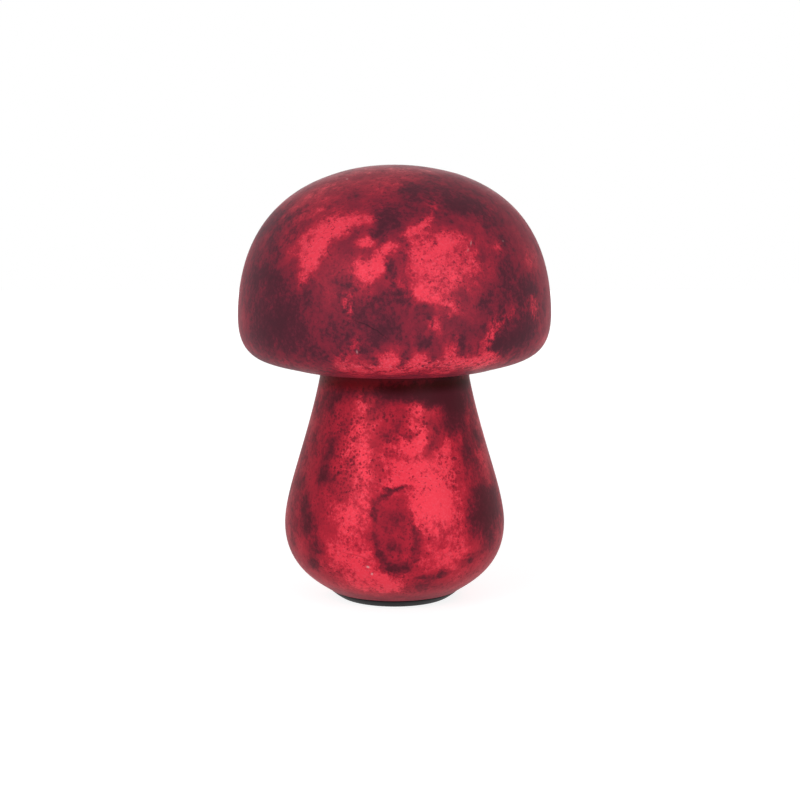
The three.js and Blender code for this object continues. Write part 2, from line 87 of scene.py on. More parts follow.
class Wire:  # one socket, which can stand in an expression
    def __init__(self, finish, socket):
        self.finish = finish
        self.socket = socket

    def join(self, operation, *ends):
        wires = [end for end in ends if isinstance(end, Wire)]
        vectors = [end for end in ends if isinstance(end, (tuple, Vector))]
        if not vectors and all(wire.socket.type == "VALUE" for wire in wires):
            return self.finish.reckon(operation, *ends)
        ends = [(end,) * 3 if isinstance(end, (int, float)) else end for end in ends]
        return self.finish.reckon(operation, *ends, kind="VectorMath")

    def __add__(self, other):
        return self.join("ADD", self, other)

    def __radd__(self, other):
        return self.join("ADD", other, self)

    def __sub__(self, other):
        return self.join("SUBTRACT", self, other)

    def __rsub__(self, other):
        return self.join("SUBTRACT", other, self)

    def __mul__(self, other):
        return self.join("MULTIPLY", self, other)

    def __rmul__(self, other):
        return self.join("MULTIPLY", other, self)

    def __rpow__(self, other):
        return self.join("POWER", other, self)

    def __lt__(self, other):
        return self.join("LESS_THAN", self, other)

    def __gt__(self, other):
        return self.join("GREATER_THAN", self, other)

    def __abs__(self):
        return self.finish.reckon("ABSOLUTE", self)


class Finish:  # a material, or the world, with one method that adds any node
    def __init__(self, name, sockets=None, world=None):
        self.material = world or bpy.data.materials.new(name)
        self.material.use_nodes = True
        self.tree = self.material.node_tree
        self.shader = self.tree.nodes["Background" if world else "Principled BSDF"]
        self.feed(self.shader, sockets or {})

    def node(self, kind, settings=None, sockets=None, output=0):
        new = self.tree.nodes.new("ShaderNode" + kind)
        for name, value in (settings or {}).items():
            if name == "stops":
                ramp = new.color_ramp
                while len(ramp.elements) < len(value):
                    ramp.elements.new(0.5)
                for stop, (position, colour) in zip(ramp.elements, value):
                    stop.position = position
                    stop.color = (*colour, 1)
            else:
                setattr(new, name, value)
        self.feed(new, sockets or {})
        return Wire(self, new.outputs[output])

    def feed(self, node, sockets):
        for name, value in sockets.items():
            socket = node.inputs[name]
            if isinstance(value, Wire):
                self.tree.links.new(value.socket, socket)
            elif socket.type == "RGBA" and len(value) == 3:
                socket.default_value = (*value, 1)
            else:
                socket.default_value = value

    def surface(self, sockets):
        self.feed(self.shader, sockets)
        return self.material

    def reckon(self, operation, *ends, kind="Math", output=0):  # a node that works out one operation
        return self.node(kind, {"operation": operation}, dict(enumerate(ends)), output)

    def others(self, wire, *names):  # more outputs of the node that a wire comes from
        return [Wire(self, wire.socket.node.outputs[name]) for name in names]

    # Shorthand for what most finishes use
    def spot(self):
        return self.node("TexCoord", output="Object")

    def parts(self, vector):
        return self.others(self.node("SeparateXYZ", sockets={0: vector}), 0, 1, 2)

    def points(self, vector, scale):  # distance to the nearest of many strewn points, and its own number
        distance = self.node("TexVoronoi", {}, {"Vector": vector, "Scale": scale})
        return distance, self.parts(*self.others(distance, "Color"))[0]

    def grain(self, vector, size, detail=2, roughness=0.5, output=0):
        values = {"Vector": vector, "Scale": 1 / (size * mm), "Detail": detail, "Roughness": roughness}
        return self.node("TexNoise", {}, values, output)

    def rise(self, value, low, high):
        return self.node("MapRange", {"interpolation_type": "SMOOTHSTEP"},
                         {"Value": value, "From Min": low, "From Max": high})

    def band(self, value, *places):  # in mm: rises between two places, and falls again between two more
        low, high, *rest = [place * mm for place in places]
        up = self.rise(value, low, high)
        return up * (1 - self.rise(value, *rest)) if rest else up

    def mix(self, share, first, second):
        return self.node("Mix", {"data_type": "RGBA"}, {0: share, 6: first, 7: second}, 2)

    def bump(self, height, depth, strength):
        return self.node("Bump", {}, {"Strength": strength, "Distance": depth * mm, "Height": height})


# Meshes

def meshFrom(work, name, sharp=35):
    bmesh.ops.recalc_face_normals(work, faces=work.faces)
    limit = math.radians(sharp)
    for face in work.faces:
        face.smooth = True
    for edge in work.edges:
        edge.smooth = len(edge.link_faces) == 2 and edge.calc_face_angle(0) < limit
    mesh = bpy.data.meshes.new(name)
    work.to_mesh(mesh)
    work.free()
    return mesh


def arc(x, y, radius, angles):
    return [(x + radius * math.cos(a), y + radius * math.sin(a)) for a in angles]


def joinRings(work, rings, closed=False):
    for low, high in zip(rings, rings[1:] + rings[:1] if closed else rings[1:]):
        for i in range(len(low)):
            j = (i + 1) % len(low)
            work.faces.new(list(dict.fromkeys((low[i], low[j], high[j], high[i]))))


# An outline of (radius, height) in mm, closed or from axis to axis, turned about the vertical
def turned(outline, sides, at=(0, 0), sharp=35):
    work = bmesh.new()
    turns = [2 * math.pi * i / sides for i in range(sides)]
    rings = []
    for radius, height in outline:
        if radius < 1e-6:
            rings.append([work.verts.new((at[0] * mm, at[1] * mm, height * mm))] * sides)
        else:
            rings.append([work.verts.new((x * mm, y * mm, height * mm)) for x, y in arc(*at, radius, turns)])
    joinRings(work, rings, outline[0][0] > 1e-6)
    return meshFrom(work, "turned", sharp)


def slab(outline, bottom, top):  # a flat outline in mm, given a thickness
    work = bmesh.new()
    low, high = [[work.verts.new((x * mm, y * mm, z * mm)) for x, y in outline] for z in (bottom, top)]
    work.faces.new(low)
    work.faces.new(high)
    joinRings(work, [low, high])
    return meshFrom(work, "slab")


def brick(x, y, sizeX, sizeY, bottom, top):
    right, back = sizeX / 2, sizeY / 2
    corners = [(x - right, y - back), (x + right, y - back), (x + right, y + back), (x - right, y + back)]
    return slab(corners, bottom, top)


def stadium(halfStraight, radius, steps=24):  # a strip along X with round ends
    ends = []
    for side, start in ((1, -0.5), (-1, 0.5)):
        ends += arc(side * halfStraight, 0, radius, [math.pi * (start + i / steps) for i in range(steps + 1)])
    return ends


def rod(radius, bottom, top, at=(0, 0), sides=40):
    return turned([(0, bottom), (radius, bottom), (radius, top), (0, top)], sides, at)


def moved(mesh, x, y, z, flip=False):
    if flip:
        mesh.transform(Matrix.Rotation(math.pi, 4, "X"))
    mesh.transform(Matrix.Translation((x * mm, y * mm, z * mm)))
    return mesh


def moulded(name, solids, cuts=(), edge=0):  # joins, cuts, and rounds the edges
    tools = {"UNION": solids[1:], "DIFFERENCE": cuts}
    whole = placed(name, solids[0])
    spare = []
    for operation, meshes in tools.items():
        if not meshes:
            continue
        group = bpy.data.collections.new(name + operation)
        for mesh in meshes:
            tool = bpy.data.objects.new("tool", mesh)
            group.objects.link(tool)
            spare.append(tool)
        carve = whole.modifiers.new(operation, "BOOLEAN")
        carve.operation = operation
        carve.operand_type = "COLLECTION"
        carve.collection = group
        carve.solver = "EXACT"
    if edge:
        soften = whole.modifiers.new("soften", "BEVEL")
        soften.width = edge * mm
        soften.segments = 2
        soften.limit_method = "ANGLE"
        soften.angle_limit = math.radians(38)
    mesh = applied(whole)
    for tool in spare:
        bpy.data.objects.remove(tool)
    work = bmesh.new()
    work.from_mesh(mesh)
    bmesh.ops.remove_doubles(work, verts=work.verts, dist=0.002 * mm)
    return meshFrom(work, name, 30)


def together(*meshes):
    work = bmesh.new()
    for mesh in meshes:
        work.from_mesh(mesh)
    return meshFrom(work, "together", 40)


# Most materials are named after the record's slot; Blender adds .001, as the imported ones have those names
def piece(name, mesh, material, replaced=None, body="ornament"):
    made = placed(name, mesh)
    mesh.materials.clear()
    mesh.materials.append(material)
    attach(made, body)
    if replaced:
        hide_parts(replaced)


def finishNode(name, material):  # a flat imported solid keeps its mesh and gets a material
    for slot in nodes[name].material_slots:
        slot.material = material


def smoothNode(name, material):  # a round one is shown by a copy that is shaded smooth
    work = bmesh.new()
    work.from_mesh(nodes[name].data)
    work.transform(nodes[name].matrix_world)
    piece(name + "_smooth", meshFrom(work, name, 45), material, name)


# The blown glass

glassShape = {
    "rim": (27, 3.5), "belly": (44.9, 30.4), "neck": (30.4, 90), "tuck": (30.4, 92.4),
    "lip": (41.7, 94.5), "widest": (63, 115), "top": (0, 175),
    "rimSlope": 37.7, "flareSlope": 11.3, "lipSlope": 16.4,
    # How far each run of the outline is pulled at its two ends, as a share of its height or width
    "pulls": [(0.176, 0.664), (0.217, 0.442), (1.2, 0.6), (0.506, 0.853), (0.831, 0.39)],
    "steps": [22, 34, 16, 24, 48],
    "wall": 2.6, "opening": 25, "sides": 240,
    "tilt": 0.008,  # the cap sits a little low on its left
    "tilted": (91, 99, 174.2, 171.2),  # heights between which the tilt comes in, and goes again at the top
    "wander": 0.3,  # mm that the hand-blown surface strays inwards
    "wandering": (12, 30),  # the plug's seat is true, and the straying comes in between these heights
    "waves": (34, 13),  # mm, the slow and the quick ones
}


def curve(a, b, c, d, steps):
    points = []
    for i in range(steps + 1):
        t = i / steps
        shares = ((1 - t) ** 3, 3 * t * (1 - t) ** 2, 3 * t * t * (1 - t), t ** 3)
        points.append(tuple(sum(s * p[k] for s, p in zip(shares, (a, b, c, d))) for k in (0, 1)))
    return points


def reach(point, length, degrees):
    turn = math.radians(degrees)
    return point[0] + length * math.cos(turn), point[1] + length * math.sin(turn)


def glassOutline():
    g = glassShape
    corners = ("rim", "belly", "neck", "tuck", "lip", "widest", "top")
    rim, belly, neck, tuck, lip, widest, top = (g[corner] for corner in corners)
    low, stem, under = belly[1] - rim[1], neck[1] - belly[1], lip[1] - neck[1]
    roll, dome = widest[1] - lip[1], top[1] - widest[1]
    runs = [  # where each starts, over what length it is pulled and which way, and the same at its end
        (rim, low, g["rimSlope"], belly, low, -90),
        (belly, stem, 90, neck, stem, g["flareSlope"] - 90),
        (tuck, under, 90, lip, lip[0] - neck[0], 180 + g["lipSlope"]),
        (lip, widest[0] - lip[0], g["lipSlope"], widest, roll, -90),
        (widest, dome, 90, top, widest[0], 0),
    ]
    outside = []
    for (start, over, leaving, end, back, arriving), pull, steps in zip(runs, g["pulls"], g["steps"]):
        handles = reach(start, pull[0] * over, leaving), reach(end, pull[1] * back, arriving)
        points = curve(start, *handles, end, steps)
        outside += [p for p in points if not outside or math.dist(p, outside[-1]) > 1e-6]
    inside = []
    for before, at, after in zip(outside, outside[1:], outside[2:]):
        along = Vector((after[0] - before[0], after[1] - before[1])).normalized()
        radius = at[0] - g["wall"] * along.y
        if at[1] < belly[1]:
            radius = max(radius, g["opening"])
        inside.append((radius, at[1] + g["wall"] * along.x))
    kept = [p for p in inside[2:-2:3] if p[0] > 1]
    inner = [(0, top[1] - g["wall"]), *reversed(kept), (g["opening"], rim[1])]
    return [p for p in inner if p[1] > rim[1] - 1e-6] + outside[:-1] + [(0, top[1])]


def climb(height, low, high):
    return min(max((height - low) / (high - low), 0), 1)


def handBlown(mesh):  # slow wandering of the wall, and the cap's small tilt
    g = glassShape
    for vertex in mesh.vertices:
        x, y, z = vertex.co / mm
        slow = noise.noise(Vector((x, y, z * 0.8)) / g["waves"][0] + Vector((3.1, 0.7, 5.2)))
        quick = noise.noise(Vector((x, y, z)) / g["waves"][1])
        inward = g["wander"] * climb(z, *g["wandering"]) * (0.5 + 0.42 * slow + 0.12 * quick)
        share = 1 - inward / max(math.hypot(x, y), 20)
        tilt = g["tilt"] * climb(z, *g["tilted"][:2]) * climb(z, *g["tilted"][2:])
        vertex.co = Vector((x * share, y * share, z + tilt * x * share)) * mm


glassMesh = turned(glassOutline(), glassShape["sides"], sharp=50)
handBlown(glassMesh)

# What the finish shows from the front: where the silvering behind the red is bright or worn dark, with
# painted highlights and painted shade among the patches.
# A patch is given as the camera sees it: pixels across and down the picture, half its width and height,
# degrees it leans to the right, and how strong it is.
# Painted highlights among the bright patches: the softboxes' reflections on the cap and down the stem, and
# light from below along the cap's lower lip.
brightAndHighlightPatches = [  # on the cap, then on the stem
    (390, 184, 22, 11, -20, 0.22), (330, 188, 44, 15, -25, 0.2), (297, 222, 25, 22, 0, 0.13),
    (342, 223, 21, 9, -18, 0.46), (322, 241, 10, 16, 38, 0.4), (311, 258, 8, 12, 36, 0.42),
    (302, 281, 5, 12, 28, 0.36), (364, 243, 8, 5, 0, 0.46), (392, 248, 10, 4, 12, 0.36),
    (366, 219, 10, 5, -10, 0.24), (369, 272, 14, 11, 0, 0.5), (359, 268, 8, 9, 0, 0.28),
    (381, 259, 7, 12, 20, 0.44), (346, 233, 10, 5, -10, 0.26), (298, 248, 12, 14, 20, 0.18),
    (433, 256, 20, 18, 0, 0.36), (416, 268, 10, 17, 0, 0.24), (438, 292, 17, 12, 0, 0.34),
    (456, 277, 20, 12, 0, 0.26), (451, 240, 22, 9, 0, 0.3), (452, 308, 10, 8, 0, 0.2),
    (417, 293, 13, 10, 0, 0.26), (484, 266, 15, 18, 0, 0.14), (413, 231, 9, 5, -30, 0.44),
    (427, 221, 7, 4.5, -35, 0.42), (433, 209, 3, 8, 8, 0.26), (499, 250, 5.5, 6, 30, 0.26),
    (530, 262, 8, 12, 0, 0.26), (533, 306, 6, 14, 0, 0.46), (506, 318, 16, 6.5, -35, 0.46),
    (490, 336, 6, 13, 25, 0.4), (480, 359, 20, 8, -8, 0.46), (493, 350, 7, 11, 20, 0.24),
    (453, 350, 9, 11, 15, 0.34), (419, 358, 7, 7, 0, 0.38), (390, 361, 13, 10, 0, 0.54),
    (345, 361, 17, 8, 10, 0.38), (355, 343, 4, 9, 0, 0.26), (289, 347, 5, 9, -15, 0.22),
    (434, 326, 6.5, 8, 0, 0.48), (350, 306, 4.5, 13, 8, 0.5), (333, 285, 12, 20, 12, 0.12),
    (545, 342, 10, 8, -40, 0.2), (436, 365, 34, 6, 0, 0.34), (362, 371, 26, 5, 0, 0.26),
    (402, 371, 22, 5, 0, 0.26), (290, 364, 20, 4, 10, 0.16), (473, 255, 9, 9, 0, 0.24),
    (436, 249, 22, 14, 0, 0.14), (310, 269, 12, 8, 30, 0.14), (432, 200, 7, 6, 0, 0.2),
    (356, 346, 10, 6, 0, 0.2), (405, 170, 40, 5, 0, 0.16), (398, 286, 8, 9, 0, 0.2),
    (370, 300, 9, 9, 0, 0.14), (378, 216, 8, 18, 0, 0.2), (327, 208, 16, 7, -20, 0.16),
    (460, 265, 8, 9, 0, 0.16), (425, 177, 14, 6, 0, 0.16), (369, 300, 8, 12, 0, 0.12),
    (480, 304, 9, 6, 0, 0.16), (486, 217, 8, 16, 15, 0.14), (452, 316, 8, 6, 0, 0.14),
    (512, 361, 14, 5, -15, 0.24), (440, 374, 12, 4, 0, 0.3),
    (362, 402, 9, 11, 0, 0.32), (361, 424, 9, 12, 0, 0.14), (364, 453, 9, 17, -5, 0.36),
    (347, 450, 9, 20, 10, 0.24), (411, 448, 10, 7, 0, 0.34), (422, 436, 6, 8, 15, 0.34),
    (415, 410, 9, 7, 0, 0.28), (433, 409, 6, 7, 0, 0.24), (407, 469, 19, 9, 0, 0.36),
    (434, 496, 22, 26, 0, 0.42), (447, 453, 8, 19, 5, 0.24), (350, 514, 20, 18, 15, 0.3),
    (386, 492, 10, 7, 0, 0.2), (388, 448, 8, 26, 0, 0.14), (346, 560, 24, 16, 20, 0.34),
    (371, 576, 17, 9, 0, 0.28), (450, 556, 24, 20, -10, 0.28), (484, 456, 8, 18, -12, 0.16),
    (400, 483, 13, 6, 0, 0.3), (366, 478, 12, 8, 0, 0.18), (402, 436, 10, 9, 0, 0.14),
    (372, 555, 14, 6, 0, 0.18), (454, 518, 18, 12, 0, 0.14), (418, 560, 12, 8, 0, 0.14),
    (460, 440, 5, 11, 0, 0.18), (394, 580, 12, 15, 0, 0.26), (372, 589, 30, 6, 0, 0.26),
    (421, 520, 8, 15, 0, 0.2), (352, 538, 8, 8, 0, 0.18), (372, 420, 9, 10, 0, 0.1),
    (410, 425, 16, 12, 0, 0.12), (360, 495, 10, 9, 0, 0.14), (445, 462, 22, 26, 0, 0.04),
]
# Painted shade among the dark patches: along the cap's left and right sides, and on the neck just under the
# cap's lip.
wornAndShadedPatches = [
    (389, 217, 17, 18, 10, 0.82), (416, 192, 14, 9, 0, 0.4), (453, 203, 29, 12, 20, 0.8),
    (484, 209, 16, 14, 0, 0.32), (392, 266, 6, 15, 5, 0.5), (388, 302, 22, 11, 0, 0.6),
    (378, 329, 28, 13, 5, 0.66), (426, 324, 16, 10, 0, 0.24), (286, 321, 28, 23, 0, 0.78),
    (271, 277, 14, 8, 0, 0.55), (353, 252, 6, 4, 0, 0.3), (353, 230, 5, 6, 0, 0.2),
    (507, 281, 10, 27, 5, 0.45), (494, 298, 12, 13, 0, 0.36), (515, 338, 20, 15, -30, 0.78),
    (497, 343, 6, 8, 0, 0.6), (479, 328, 9, 7, 0, 0.3), (346, 201, 20, 4, -12, 0.26),
    (249, 289, 8, 33, 0, 0.3), (405, 361, 4, 7, 0, 0.62), (375, 362, 4, 6, 0, 0.5),
    (433, 359, 4, 5, 0, 0.4), (366, 351, 6, 4, 0, 0.36), (427, 343, 14, 6, 0, 0.45),
    (462, 345, 5, 8, 15, 0.4), (268, 222, 22, 22, 35, 0.5), (262, 272, 18, 26, 0, 0.46),
    (262, 338, 18, 16, 0, 0.55), (524, 288, 9, 18, 0, 0.52), (526, 326, 11, 14, 0, 0.44),
    (504, 247, 8, 12, 0, 0.3), (482, 308, 7, 9, 0, 0.36), (455, 185, 24, 9, 20, 0.4),
    (402, 181, 10, 7, 0, 0.3), (346, 285, 8, 12, 0, 0.4), (325, 352, 24, 12, 0, 0.5),
    (371, 342, 14, 7, 10, 0.34), (290, 222, 22, 14, 30, 0.24), (284, 295, 26, 16, 0, 0.34),
    (428, 312, 12, 8, 0, 0.3), (355, 312, 8, 12, 0, 0.3), (454, 301, 10, 9, 0, 0.32),
    (490, 235, 12, 22, 0, 0.24), (492, 347, 5, 8, 20, 0.36), (440, 218, 14, 6, 20, 0.24),
    (270, 250, 12, 16, 0, 0.16), (276, 318, 20, 12, 0, 0.26), (336, 328, 7, 12, 0, 0.42),
    (312, 334, 12, 10, 0, 0.26), (503, 217, 8, 10, 30, 0.36), (285, 352, 14, 8, 0, 0.3),
    (413, 207, 6, 10, 0, 0.3), (378, 236, 9, 6, 0, 0.24), (403, 256, 5, 8, 0, 0.26),
    (352, 287, 6, 14, 0, 0.34), (313, 285, 9, 10, 0, 0.28), (526, 287, 18, 10, 0, 0.3),
    (502, 318, 8, 7, 20, 0.34), (540, 308, 7, 12, 0, 0.24), (462, 341, 9, 7, 0, 0.26),
    (426, 346, 8, 6, 0, 0.3), (396, 348, 7, 8, 0, 0.2), (290, 236, 14, 18, 30, 0.22),
    (343, 322, 10, 8, 0, 0.18), (536, 290, 8, 14, 0, 0.4), (458, 341, 9, 7, 0, 0.34),
    (418, 216, 8, 8, -20, 0.3), (402, 236, 6, 8, 0, 0.26),
    (457, 405, 12, 10, 20, 0.7), (456, 424, 12, 14, 0, 0.62), (466, 450, 8, 12, 10, 0.48),
    (401, 396, 22, 6, 0, 0.55), (331, 397, 10, 8, 0, 0.45), (328, 453, 7, 18, 8, 0.56),
    (327, 477, 8, 8, 0, 0.66), (301, 480, 5, 7, 0, 0.42), (305, 512, 7, 14, 5, 0.62),
    (307, 531, 8, 9, 0, 0.5), (318, 547, 6, 10, 0, 0.52), (313, 564, 8, 5, 0, 0.6),
    (485, 506, 11, 21, -8, 1.0), (473, 522, 8, 10, 0, 0.42), (489, 540, 9, 15, -10, 0.48),
    (405, 435, 12, 5, 0, 0.3), (385, 472, 8, 6, 10, 0.32), (436, 438, 8, 14, 0, 0.28),
    (385, 496, 10, 3, -30, 0.56), (401, 489, 12, 2.2, -5, 0.5), (371, 513, 4, 9, -8, 0.5),
    (374, 539, 3.5, 10, -10, 0.42), (381, 556, 7, 6, 0, 0.6), (397, 567, 18, 5.5, -5, 0.84),
    (416, 550, 4, 9, 15, 0.5), (415, 531, 3.5, 10, -12, 0.44), (404, 519, 9, 10, 15, 0.34),
    (396, 547, 5, 5, 0, 0.44), (441, 576, 10, 4, -15, 0.66), (423, 579, 6, 3, 0, 0.46),
    (468, 560, 8, 3.5, -35, 0.5), (423, 589, 24, 5, 0, 0.3), (384, 428, 12, 22, 0, 0.16),
    (442, 391, 26, 12, 8, 1.05), (428, 406, 8, 6, 0, 0.4), (320, 405, 10, 12, 0, 0.36),
    (350, 394, 16, 5, 0, 0.36), (394, 391, 22, 7, 0, 0.6), (478, 441, 8, 14, 15, 0.4),
    (296, 470, 8, 26, 10, 0.24), (497, 488, 8, 18, -10, 0.24), (360, 404, 12, 7, 0, 0.3),
    (311, 445, 8, 20, 8, 0.3), (470, 472, 10, 8, 0, 0.2), (292, 530, 8, 34, 0, 0.3),
    (303, 496, 7, 10, 0, 0.2), (322, 414, 8, 10, 0, 0.2), (497, 500, 6, 24, 0, 0.24),
    (478, 437, 5, 14, -15, 0.24), (388, 538, 6, 18, -10, 0.24), (440, 558, 9, 6, 0, 0.2),
    (475, 538, 8, 5, 0, 0.24), (462, 383, 14, 7, 0, 0.7), (433, 396, 14, 5, 0, 0.5),
    (345, 497, 8, 8, 0, 0.2), (357, 434, 10, 14, 0, 0.2),
]
scratches = [
    (370, 328, 0.7, 17, -60, 0.55), (355, 556, 0.6, 14, -70, 0.30), (449, 471, 0.5, 9, 30, 0.30),
]
pinpricks = [  # where the red is gone and the silver shows
    (368, 567, 1.4, 0.8, 20, 0.8), (372, 574, 0.8, 1.0, 0, 0.8), (471, 243, 0.5, 2.0, 8, 0.45),
    (468, 250, 0.5, 1.2, 15, 0.35), (357, 352, 0.7, 1.4, -10, 0.45), (268, 219, 0.8, 0.8, 0, 0.5),
    (347, 179, 1.0, 0.7, 30, 0.5), (503, 241, 0.8, 0.6, 0, 0.25),
]

silvering = {
    "cap": 0.50,  # how bright the finish is between its patches, on the cap and on the stem
    "stem": 0.66,
    "wear": 0.08,  # how worn it is between its patches
    "wornOut": 0.15,  # how bright it is where it is worn right out
    "tones": [  # the colour at each brightness, from worn right out to fully silvered
        (0.0, (0.070, 0.008, 0.015)), (0.22, (0.115, 0.011, 0.022)), (0.46, (0.22, 0.013, 0.028)),
        (0.74, (0.46, 0.018, 0.038)), (1.0, (0.80, 0.040, 0.070)),
    ],
    # the colour of the painted glints of highlight in the bright silver
    "glintColour": (0.86, 0.12, 0.17),
    "bare": (0.62, 0.38, 0.38),
    "capTint": (0.0, 0.007, 0.011),  # the cap is a little more purple
    "drift": (15, 0.006),  # slow straying of the patches' edges: its size in mm, its reach in metres
    "shiver": (2.6, 0.0045),
    "spread": 1.15,  # at this many times its half size a patch has faded to the next share
    "fade": 0.368,
    "dots": 780,  # how many fine dots, and how many pinpricks, to a metre
    "pricks": 62,
    "neckShade": 0.62,  # painted shade: how much darker the neck is under the cap
    # Heights in mm between which each starts, and between which it ends
    "capFrom": (90, 96),
    "neck": (85.5, 90, 93, 94.5),
    "edge": (93.5, 96, 100, 108),
    "upperStem": (46, 60),
    "streaked": (5, 9),  # the streaks at the foot end between these
    "behind": (-14, 12),  # from front to back, where clouds take over from the patches
}


# The point of the glass under a pixel of the picture, and the size of a pixel there
def seenAt(glass, across, down):
    half = view["picture"] / 2
    pixel = view["sensor"] / view["lens"] / view["picture"]
    turn = camera.rotation_euler.to_matrix()
    sight = turn @ Vector(((across - half) * pixel, (half - down) * pixel, -1))
    _, place, _, _ = glass.ray_cast(camera.location, sight.normalized())
    away = (place - camera.location).dot(turn @ Vector((0, 0, -1)))
    return place, away * pixel


def silveredGlass(glass):
    s = silvering
    f = Finish("silvered_red_glass", {"IOR": 1.5, "Specular IOR Level": 0.06})
    spot = f.spot()
    _, y, z = f.parts(spot)
    drift = (f.grain(spot, s["drift"][0], 3, 0.6, 1) - (0.5, 0.5, 0.5)) * s["drift"][1]
    shiver = (f.grain(spot, s["shiver"][0], 3, 0.7, 1) - (0.5, 0.5, 0.5)) * s["shiver"][1]
    strayed = spot + drift + shiver
    look = Matrix.Rotation(math.radians(-view["lookDown"]), 3, "X")

    def patchSum(patches, vector, depth=12):  # depth in mm is how far a patch goes into the glass
        total = 0.0
        for lean in sorted({patch[4] for patch in patches}):
            turn = look @ Matrix.Rotation(math.radians(lean), 3, "Y")
            back = turn.transposed()
            leaned = f.node("Mapping", {}, {"Vector": vector, "Rotation": back.to_euler("XYZ")}) * (1 / mm)
            for across, down, wide, high, own, strength in patches:
                if own != lean:
                    continue
                place, pixel = seenAt(glass, across, down)
                wide, high = s["spread"] * wide * pixel / mm, s["spread"] * high * pixel / mm
                share = Vector((1 / wide, 1 / (max(wide, high) + depth), 1 / high))
                centre = share * (back @ place) / mm
                inPatch = f.reckon("MULTIPLY_ADD", leaned, share, -centre, kind="VectorMath")
                square = f.reckon("DOT_PRODUCT", inPatch, inPatch, kind="VectorMath", output="Value")
                total = f.reckon("MULTIPLY_ADD", s["fade"] ** square, strength, total)
        return total

    inCap = f.band(z, *s["capFrom"])
    plain = s["stem"] + (s["cap"] - s["stem"]) * inCap
    brightAndHighlightPlaced = patchSum(brightAndHighlightPatches, strayed)
    wornAndShadePlaced = patchSum(wornAndShadedPatches, strayed)
    # Round the back, clouds of the same size and strength
    behind = f.band(y, *s["behind"])
    brightAround = 0.62 * f.rise(f.grain(strayed, 26, 4, 0.6), 0.42, 0.70)
    wornAround = 0.85 * f.rise(f.grain(strayed + (0.31, 0.17, 0.05), 18, 4, 0.6), 0.40, 0.68)
    lit = brightAndHighlightPlaced + behind * (brightAround - brightAndHighlightPlaced)
    wearAndShade = wornAndShadePlaced + behind * (wornAround - wornAndShadePlaced)
    # painted shade on the neck under the cap, which darkens the colour further down
    neck = f.band(z, *s["neck"])
    # The wear and the painted shade break up into feathers and specks; fine dark pepper stays in the bright
    # silver
    feather = f.grain(spot * (1, 1, 0.75), 6.5, 7, 0.70)
    fine = f.grain(spot, 1.5, 3, 0.65)
    breaking = (1.5 + 0.8 * inCap) * (feather - 0.5) + (1.2 + 0.5 * inCap) * (fine - 0.5)
    wearAndShade = wearAndShade + breaking + s["wear"] - 0.35 * lit
    # worn holds the painted shade too, under the cap and along its sides
    worn = f.rise(wearAndShade, 0.0, 0.86)
    broken = lit + (0.8 * (f.grain(spot, 4, 5, 0.7) - 0.5) + 0.4 * (fine - 0.5)) * f.rise(lit, 0.02, 0.2)
    lit = 0.72 * broken + 0.16 * f.rise(broken, 0.12, 0.40)
    silver = plain + lit + 0.4 * (f.grain(spot, 6, 5, 0.65) - 0.5) + 0.3 * (fine - 0.5)
    # Round the cap's lower edge the silver is flecked more thickly; at the foot the lacquer is streaked
    streaks = f.grain(spot * (1, 1, 7), 4, 3) * (1 - f.band(z, *s["streaked"]))
    edge = f.band(z, *s["edge"])
    silver = silver - 0.36 * edge * f.rise(f.grain(spot, 2.0, 4, 0.65), 0.50, 0.64) - 0.3 * streaks
    high = f.band(z, *s["upperStem"]) * (1 - inCap)
    dots, pick = f.points(spot, s["dots"])
    dotSize = 0.62 * pick - 0.12
    dotted = 1 - f.node("MapRange", {}, {"Value": dots, "From Min": dotSize, "From Max": dotSize + 0.16})
    thick = f.rise(f.grain(spot * (1, 1, 0.4), 9, 3, 0.6), 0.36, 0.60)
    pepper = f.rise(f.grain(spot, 1.0, 2, 0.5), 0.58, 0.68) * f.rise(f.grain(spot, 14, 3), 0.40, 0.58)
    pepper = pepper + dotted * (0.35 + 0.45 * high) * thick
    tone = silver - worn * (silver - s["wornOut"] + 0.24 * (wearAndShade - 0.6))
    tone = tone - 0.38 * pepper * f.rise(tone, 0.40, 0.75)
    colour = f.node("ValToRGB", {"stops": s["tones"]}, {0: tone})
    # painted glints of highlight: pinkish flecks in the bright silver, thicker round the cap's lower edge
    paintedGlints = f.rise(f.grain(spot, 0.8, 3, 0.6), 0.48, 0.66) * f.rise(tone, 0.62, 0.95)
    colour = f.mix((0.26 + 0.34 * edge) * paintedGlints, colour, s["glintColour"])
    scratched = patchSum(scratches, spot + drift, 4)
    colour = colour * (1 - s["neckShade"] * neck) * (1 - scratched)
    colour = colour + s["capTint"] * (inCap - s["neckShade"] * neck)
    bright = f.rise(tone, 0.35, 0.85)
    # Pinpricks: those on the front in their places, and a few strewn over the rest
    flaws, pick = f.points(spot, s["pricks"])
    strewn = (flaws < 0.028) * (pick > 0.86) * behind * 0.7
    pricked = patchSum(pinpricks, spot, 0.5) + strewn
    colour = f.mix(pricked, colour, s["bare"])
    satin = f.grain(spot, 0.9, 3, 0.6)
    ripple = f.grain(spot, 9, 2, 0.5)
    return f.surface({
        "Base Color": colour,
        "Metallic": 0.06 * bright,
        "Roughness": 0.50 - 0.10 * bright + 0.08 * (satin - 0.5),
        "Normal": f.bump(0.35 * ripple + 0.04 * satin, 0.25, 0.6),
    })


glass = placed("glass_shell", glassMesh)
bpy.context.view_layer.update()
glassFinish = silveredGlass(glass)
bpy.data.objects.remove(glass)
piece("glass_shell", glassMesh, glassFinish, "glass_body")
print("stage 2: the glass has", len(glassMesh.polygons), "faces")


# Finishes of the light unit

